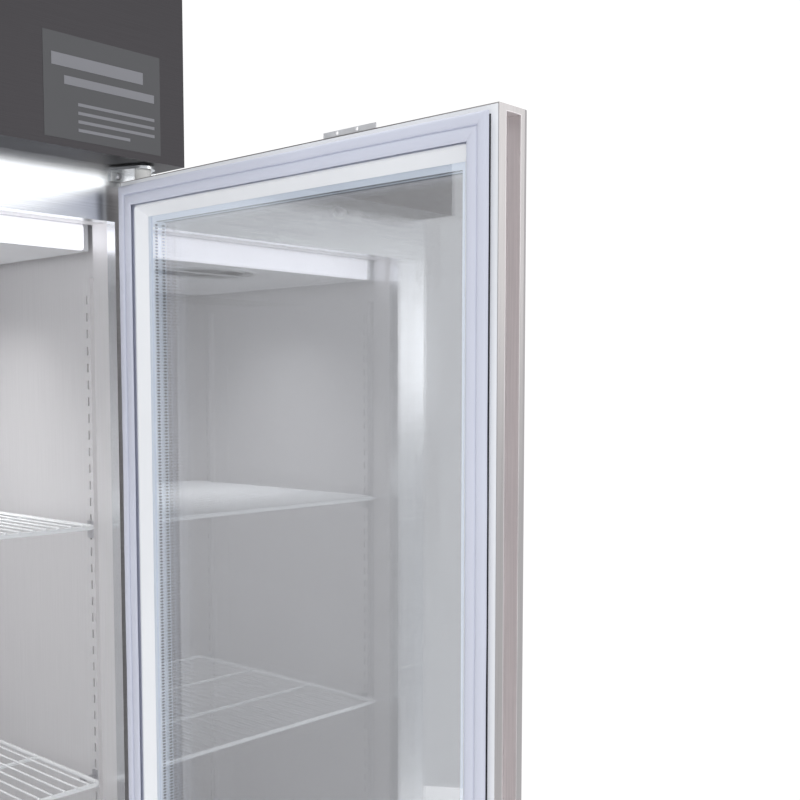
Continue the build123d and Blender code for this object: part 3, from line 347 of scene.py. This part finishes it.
# The seal's section: inset from the door's edge and height above its inner face, in mm.
GASKET = (
    (8.2, 6.0), (8.1, 8.2), (8.9, 9.6), (10.4, 10.4), (12.6, 10.8), (17.2, 10.9), (19.6, 10.5),
    (20.7, 9.5), (21.0, 7.6), (21.5, 7.4), (22.0, 8.6), (23.4, 9.5), (27.5, 10.0), (32.0, 9.9),
    (34.8, 9.3), (35.9, 8.2), (35.7, 7.4), (33.0, 6.6), (26.5, 6.0), (24.6, 4.6), (24.4, 0.1),
    (14.6, 0.1), (14.2, 4.2), (11.0, 5.2),
)
SEAL_HEIGHT = 11.0
RIM_LENGTHS = (668.0, 1560.0)  # of the door's level sides and of its upright sides
RIM_STEPS = (22, 48)
WELD_MARKS = (1.6, 5.0)  # distances from a mitre, between which its dip ends
WELD_DIP = 0.5
STRIP_LOW, STRIP_HIGH = 0.05, 0.5


def door_point(inset, proud, side, along):
    """A point on the door's inner face: side 0 to 3 round the rim, along 0 to 1 between mitres."""
    y0, y1 = door_low.y + inset * MM, door_high.y - inset * MM
    z0, z1 = door_low.z + inset * MM, door_high.z - inset * MM
    corners = ((y0, z0), (y1, z0), (y1, z1), (y0, z1))
    start, end = corners[side], corners[(side + 1) % 4]
    y = start[0] + (end[0] - start[0]) * along
    z = start[1] + (end[1] - start[1]) * along
    return Vector((FACE_X - proud * MM, y, z))


seal = Shape()
rings = []
for side in range(4):
    length = RIM_LENGTHS[side % 2]
    steps = RIM_STEPS[side % 2]
    marks = [mark / length for mark in WELD_MARKS]
    stations = [0.0, *marks]
    stations += [step / steps for step in range(1, steps)]
    stations += [1 - mark for mark in reversed(marks)]
    for share in stations:
        at_weld = share == 0.0
        reach = share * length
        sway = math.sin(share * math.pi) ** 0.5 if 0 < share < 1 else 0.0
        long_wave = 0.35 * math.sin(reach / 61.0 + side)
        short_wave = 0.2 * math.sin(reach / 23.0 + 2 * side)
        shift = sway * (long_wave + short_wave)
        ring = []
        for inset, proud in GASKET:
            lift = proud / SEAL_HEIGHT
            sink = WELD_DIP * lift if at_weld else 0.0
            ring.append(door_point(inset + shift * lift, proud - sink - abs(shift) * 0.3 * lift, side, share))
        rings.append(ring)
seal.loops(rings, closed=True)
seal.make("seal_bellows", "door", "gasket_grey", ["door_gasket"], smooth=50)

# Flat strips on the door's face beside and under the seal: a black strip of painted shade in the gap outside
# the seal's head, and a grey strip in the shadow under its inner edge.
for name, near, far, finish in (
    # Painted shade: the black strip darkens the gap under the seal's head.
    ("seal_slot", 10.4, 14.5, "black_plastic"),
    ("seal_shadow_lip", 24.5, 35.8, "gasket_grey"),
):
    track = ((near, STRIP_LOW), (far, STRIP_LOW), (far, STRIP_HIGH), (near, STRIP_HIGH))
    strip = Shape()
    strip.loops(
        [[door_point(inset, proud, side, 0.0) for inset, proud in track] for side in range(4)], closed=True
    )
    strip.make(name, "door", finish, smooth=30)


# ---- breather slots of the glass spacers --------------------------------------
SPACER_INSET = 58.5
CAVITY_DEPTHS = (18.0, 30.0)
BREATHER_PITCH = 0.0044
BREATHER_HALF_WIDTH, BREATHER_HALF_LENGTH = 0.0013, 0.0028
BREATHER_SUNK, BREATHER_THICKNESS = 0.0004, 0.0007
BREATHER_SIDES = 6

outward = Vector((1, 0, 0))
door_centre = (door_low + door_high) / 2
breathers = Shape()
for depth in CAVITY_DEPTHS:
    for side in range(4):
        start = door_point(SPACER_INSET, -depth, side, 0.0)
        end = door_point(SPACER_INSET, -depth, side, 1.0)
        span = (end - start).length
        along = (end - start).normalized()
        inward = outward.cross(along)
        centre = Vector((start.x, door_centre.y, door_centre.z))
        if (centre - start).dot(inward) < 0:
            inward.negate()
        count = int(span / BREATHER_PITCH)
        for step in range(1, count):
            spot = start + along * span * step / count - inward * BREATHER_SUNK
            outline = []
            for corner in range(BREATHER_SIDES):
                turn = 2 * math.pi * corner / BREATHER_SIDES
                wide = along * BREATHER_HALF_WIDTH * math.cos(turn)
                outline.append(spot + wide + outward * BREATHER_HALF_LENGTH * math.sin(turn))
            breathers.loops([outline, [point + inward * BREATHER_THICKNESS for point in outline]])
# The slots are black disks: painted shade for the dark inside of each hole.
breathers.make("spacer_holes", "door", "black_plastic", smooth=30)


# ---- finned coils -----------------------------------------------------------
FIN_PITCH = 0.0042
FIN_HALF, END_FIN_HALF = 0.00018, 0.0007
COIL_END = 0.012
TUBE_RADIUS, TUBE_STUB, BEND_REACH = 0.0042, 0.001, 0.0068
BEND_STEPS = 10


def finned_coil(node, body, rows, levels):
    """Thin fins across X on hairpin tubes, inside the CAD block."""
    low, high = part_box(node)
    first, last = low.x + COIL_END, high.x - COIL_END
    fins = Shape()
    count = int((last - first) / FIN_PITCH)
    for at in range(count + 1):
        x = first + (last - first) * at / count
        half = END_FIN_HALF if at in (0, count) else FIN_HALF
        fins.box((x - half, low.y, low.z), (x + half, high.y, high.z))
    fins.make(node + ".fins", body, "aluminium_fins", [node])

    tubes = Shape()
    pitch_y = (high.y - low.y) / rows
    pitch_z = (high.z - low.z) / levels
    radius = min(TUBE_RADIUS, pitch_z * 0.22)
    reach = min(BEND_REACH, pitch_z / 2)
    for row in range(rows):
        y = low.y + pitch_y * (row + 0.5)
        for level in range(levels):
            z = low.z + pitch_z * (level + 0.5)
            tubes.tube([(first - TUBE_STUB, y, z), (last + TUBE_STUB, y, z)], radius)
        for end_x, sign, offset in ((first, -1, 0), (last, 1, 1)):
            for level in range(offset, levels - 1, 2):
                z = low.z + pitch_z * (level + 0.5)
                arc = []
                for step in range(BEND_STEPS + 1):
                    turn = math.pi * step / BEND_STEPS
                    x = end_x + sign * (TUBE_STUB + reach * math.sin(turn))
                    arc.append((x, y, z + pitch_z * (1 - math.cos(turn)) / 2))
                tubes.tube(arc, radius * 0.98)
    tubes.make(node + ".tubes", body, "copper")


finned_coil("condenser_coil", "cabinet", 3, 7)
finned_coil("evaporator_coil", "cabinet", 6, 3)


# ---- fans -------------------------------------------------------------------
HUB_RADIUS, SHAFT_RADIUS, HUB_HALF = 0.021, 0.0042, 0.0072
BLADE_ROOT = HUB_RADIUS - 0.002
BLADE_HALF = 0.0006
BLADE_STEPS = 8
HUB_RIBS, RIB_RADIUS = 6, 0.0011


def fan(node, body, axis, blades, slot_name):
    """Cambered, pitched blades on a domed hub, inside the CAD fan."""
    low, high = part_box(node)
    centre = (low + high) / 2
    axis = Vector(axis)
    reach = [high[at] - low[at] for at in range(3) if abs(axis[at]) < 0.5]
    tip = max(reach) / 2 - 0.0005
    depth = [high[at] - low[at] for at in range(3) if abs(axis[at]) > 0.5][0] / 2
    side = axis.orthogonal().normalized()
    other = axis.cross(side)

    shape = Shape()
    for blade in range(blades):
        start = 2 * math.pi * blade / blades
        sections = []
        for step in range(BLADE_STEPS + 1):
            share = step / BLADE_STEPS
            radius = BLADE_ROOT + (tip - BLADE_ROOT) * share
            width = 0.5 + 0.42 * math.sin(math.pi * min(1.0, share * 0.8 + 0.1))
            pitch = (0.62 - 0.28 * share) * depth
            upper, lower = [], []
            for cut in range(BLADE_STEPS + 1):
                chord = cut / BLADE_STEPS - 0.5
                turn = start + chord * width + 0.22 * share
                out = math.cos(turn) * side + math.sin(turn) * other
                rise = pitch * 1.6 * chord + 0.18 * depth * math.cos(math.pi * chord)
                trim = radius - 0.006 * (2 * chord) ** 4 * share
                upper.append(centre + out * trim + axis * (rise + BLADE_HALF))
                lower.append(centre + out * trim + axis * (rise - BLADE_HALF))
            sections.append(upper + lower[::-1])
        shape.loops(sections)
    shape.make(node + ".blades", body, slot_name, [node])

    cap = Shape()
    half = min(depth, HUB_HALF)
    profile = (
        (SHAFT_RADIUS, -half), (HUB_RADIUS - 0.003, -half), (HUB_RADIUS, -half + 0.003),
        (HUB_RADIUS, half - 0.005), (HUB_RADIUS - 0.004, half - 0.0012), (HUB_RADIUS - 0.01, half),
        (SHAFT_RADIUS, half),
    )
    cap.lathe(profile, centre, axis)
    for rib in range(HUB_RIBS):
        turn = 2 * math.pi * rib / HUB_RIBS
        out = math.cos(turn) * side + math.sin(turn) * other
        inner = centre + out * 0.0075 + axis * (half - 0.001)
        outer = centre + out * 0.015 + axis * (half - 0.002)
        cap.tube([inner, outer], RIB_RADIUS, 8)
    cap.make(node + ".hub", body, slot_name)


fan("condenser_fan_blade", "condenser_fan", (0, -1, 0), 5, "aluminium_fins")
fan("evaporator_fan_blade", "evaporator_fan", (0, 0, -1), 5, "black_plastic")


# ---- caster wheels ----------------------------------------------------------
TREAD_DEPTH = 0.0128
SPOKES = 8
WHEEL_SIDES = 72


def mirrored(points, middle=()):
    """A profile from its lower half: the points, the middle ones, and the points turned over."""
    return [*points, *middle, *((radius, -level) for radius, level in reversed(points))]


def wheel(spot):
    """A rounded rubber tread on a spoked core."""
    node = "caster_wheel_" + spot
    low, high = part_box(node)
    centre = (low + high) / 2
    size = (high - low) / 2
    radius = max(size)
    half = min(size)
    along = Vector((0, 0, 0))
    along[min(range(3), key=lambda at: size[at])] = 1
    side = along.orthogonal().normalized()
    other = along.cross(side)

    tread = Shape()
    shoulder = (
        (radius - 0.0125, -half * 0.82), (radius - 0.004, -half * 0.86),
        (radius - 0.0012, -half * 0.66), (radius - 0.0002, -half * 0.34),
    )
    tread.lathe(mirrored(shoulder, [(radius, 0)]), centre, along, WHEEL_SIDES)
    tread.make(node + ".tread", node, "wheel_rubber", [node], smooth=50)

    core = Shape()
    outer = radius - TREAD_DEPTH
    disc = (
        (0.0052, -half), (0.0135, -half), (0.0148, -half + 0.002), (0.016, -half * 0.3),
        (outer - 0.007, -half * 0.3), (outer - 0.004, -half * 0.78), (outer, -half * 0.8),
    )
    core.lathe(mirrored(disc), centre, along, WHEEL_SIDES)
    depth = along * half * 0.72
    for spoke in range(SPOKES):
        turn = 2 * math.pi * spoke / SPOKES
        out = math.cos(turn) * side + math.sin(turn) * other
        cross = along.cross(out)
        loops = []
        for reach, width in ((0.0145, 0.0022), (outer - 0.0045, 0.0018)):
            middle = centre + out * reach
            wide = cross * width
            loops.append([
                middle + wide + depth, middle - wide + depth, middle - wide - depth, middle + wide - depth,
            ])
        core.loops(loops)
    core.make(node + ".core", node, "button_grey", smooth=40)


for spot in ("front_left", "front_right", "rear_left", "rear_right"):
    wheel(spot)


# ---- screw heads ------------------------------------------------------------
HEAD_SIDES = 24


def screw_heads(node, body):
    """Pan heads with a cross recess at each of the node's screws."""
    shape = Shape()
    for low, high in islands(node):
        span = high - low
        axis = thin_axis(span)
        flat = [span[at] for at in range(3) if abs(axis[at]) < 0.5]
        tall = [span[at] for at in range(3) if abs(axis[at]) > 0.5][0]
        radius = max(flat) / 2
        seat = (low + high) / 2 - axis * tall / 2
        side = axis.orthogonal().normalized()
        other = axis.cross(side)

        rings = []
        for share, level in ((1, 0), (1, 0.4), (0.93, 0.72), (0.78, 0.92), (0.6, 1)):
            rings.append([
                seat + axis * tall * level + radius * share * (math.cos(turn) * side + math.sin(turn) * other)
                for turn in (2 * math.pi * (step + 0.5) / HEAD_SIDES for step in range(HEAD_SIDES))
            ])
        base = len(shape.points)
        shape.loops(rings, caps=False)
        shape.faces.append(tuple(base + step for step in reversed(range(HEAD_SIDES))))

        arm, waist = radius * 0.46, radius * 0.12
        plus = (
            (arm, waist), (waist, waist), (waist, arm), (-waist, arm), (-waist, waist), (-arm, waist),
            (-arm, -waist), (-waist, -waist), (-waist, -arm), (waist, -arm), (waist, -waist), (arm, -waist),
        )
        count = len(plus)
        mouth = len(shape.points)
        floor_of_recess = mouth + count
        for height in (tall, tall * 0.45):
            for u, v in plus:
                shape.points.append(seat + axis * height + u * side + v * other)
        rim = base + (len(rings) - 1) * HEAD_SIDES
        for step in range(count):
            after = (step + 1) % count
            outer = [rim + (2 * step + ahead) % HEAD_SIDES for ahead in range(3)]
            shape.faces.append((*outer, mouth + after, mouth + step))
            shape.faces.append((mouth + step, mouth + after, floor_of_recess + after, floor_of_recess + step))
        shape.faces.append(tuple(floor_of_recess + step for step in range(count)))
    shape.make(node + ".heads", body, "zinc", [node], smooth=30)


def thin_axis(span):
    """The way a screw head points: along its thinnest side, upwards or towards the front or left."""
    at = min(range(3), key=lambda axis: span[axis])
    axis = Vector((0, 0, 0))
    axis[at] = 1 if at == 2 else -1
    return axis


screw_heads("cabinet_screws", "cabinet")
screw_heads("door_screws", "door")


# ---- blank label ------------------------------------------------------------
LABEL_WIDTH, LABEL_HEIGHT = 0.18, 0.134
LABEL_FROM_SIDE, LABEL_FROM_BOTTOM = 0.041, 0.01
LABEL_SUNK, LABEL_PROUD, BAR_PROUD = 0.0002, 0.0003, 0.0005
LABEL_BARS = (  # left end, width, level and height of each bar
    (0.012, 0.14, 0.092, 0.016), (0.03, 0.14, 0.07, 0.011), (0.05, 0.12, 0.045, 0.004),
    (0.05, 0.12, 0.034, 0.004), (0.05, 0.12, 0.023, 0.004), (0.05, 0.08, 0.012, 0.004),
)
header_low, header_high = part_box("header_panel")
front = header_low.y
right = header_high.x - LABEL_FROM_SIDE
left = right - LABEL_WIDTH
bottom = header_low.z + LABEL_FROM_BOTTOM
label = Shape()
label.box((left, front - LABEL_PROUD, bottom), (right, front + LABEL_SUNK, bottom + LABEL_HEIGHT))
label.make("blank_label", "cabinet", None, material=solid("label grey", (0.05, 0.05, 0.055), 0.4, coat=0.3))
bars = Shape()
for start, width, level, tall in LABEL_BARS:
    bars.box(
        (left + start, front - BAR_PROUD, bottom + level),
        (left + start + width, front - LABEL_PROUD, bottom + level + tall),
    )
bars.make("label_bars", "cabinet", None, material=solid("label pale", (0.2, 0.2, 0.22), 0.4, coat=0.3))


# ---- floor and surroundings ---------------------------------------------------
FLOOR_RADIUS, FLOOR_SIDES = 2.3, 96
floor_mesh = bpy.data.meshes.new("floor")
edge = [
    (FLOOR_RADIUS * math.cos(turn), FLOOR_RADIUS * math.sin(turn), 0.0)
    for turn in (2 * math.pi * step / FLOOR_SIDES for step in range(FLOOR_SIDES))
]
floor_mesh.from_pydata(edge, [], [tuple(range(FLOOR_SIDES))])
floor = bpy.data.objects.new("floor", floor_mesh)
bpy.context.scene.collection.objects.link(floor)
dress(floor, glowing("floor white", (0.9, 0.9, 0.9), 0.5))

# White for what the camera sees directly, a softer grey for light and reflections.
world = bpy.data.worlds.new("studio")
world.use_nodes = True
tree = world.node_tree
surround = tree.nodes["Background"]
surround.inputs["Color"].default_value = (0.95, 0.97, 1.0, 1)
surround.inputs["Strength"].default_value = 0.66
backdrop = tree.nodes.new("ShaderNodeBackground")
backdrop.inputs["Color"].default_value = (1.0, 1.0, 1.0, 1)
backdrop.inputs["Strength"].default_value = 1.05
path = tree.nodes.new("ShaderNodeLightPath")
choose = tree.nodes.new("ShaderNodeMixShader")
tree.links.new(path.outputs["Is Camera Ray"], choose.inputs["Fac"])
tree.links.new(surround.outputs["Background"], choose.inputs[1])
tree.links.new(backdrop.outputs["Background"], choose.inputs[2])
tree.links.new(choose.outputs["Shader"], tree.nodes["World Output"].inputs["Surface"])
bpy.context.scene.world = world
bpy.context.scene.view_settings.view_transform = "Standard"


# ---- lights -----------------------------------------------------------------
def area_light(name, place, target, size, energy):
    """A rectangular light at a place, turned towards a target."""
    data = bpy.data.lights.new(name, "AREA")
    data.shape = "RECTANGLE"
    data.size, data.size_y = size
    data.energy = energy
    light = bpy.data.objects.new(name, data)
    bpy.context.scene.collection.objects.link(light)
    light.location = place
    light.rotation_euler = (Vector(target) - Vector(place)).to_track_quat("-Z", "Y").to_euler()
    return light


area_light("key", (-3.2, -2.6, 1.72), (0, 0.0, 1.5), (2.0, 0.7), 7.5)
soft = area_light("soft", (-3.2, -2.6, 1.9), (0, 0.0, 1.1), (2.4, 2.6), 33)
soft.visible_glossy = False
area_light("fill", (1.8, -3.0, 2.4), (0, 0.0, 1.0), (2.0, 2.0), 14)
area_light("top", (0.0, 0.4, 4.2), (0, 0.0, 1.0), (3.0, 3.0), 40)
inside = area_light("inside", (0.0, 0.3, 1.66), (0.0, 0.34, 0.4), (0.45, 0.2), 1.8)
inside.data.spread = math.radians(130)
inside.visible_camera = False
inside.visible_glossy = False


# ---- camera -----------------------------------------------------------------
camera_data = bpy.data.cameras.new("camera")
camera_data.sensor_width = 36.0
camera_data.lens = 50.5
camera_data.shift_y = 0.0863
camera_data.clip_end = 100.0
camera = bpy.data.objects.new("camera", camera_data)
bpy.context.scene.collection.objects.link(camera)
camera.location = (-0.6374, -1.4042, 1.4945)
yaw, pitch = math.radians(47.855), math.radians(4.079)
forward = Vector((math.sin(yaw) * math.cos(pitch), math.cos(yaw) * math.cos(pitch), -math.sin(pitch)))
camera.rotation_euler = forward.to_track_quat("-Z", "Y").to_euler()
bpy.context.scene.camera = camera
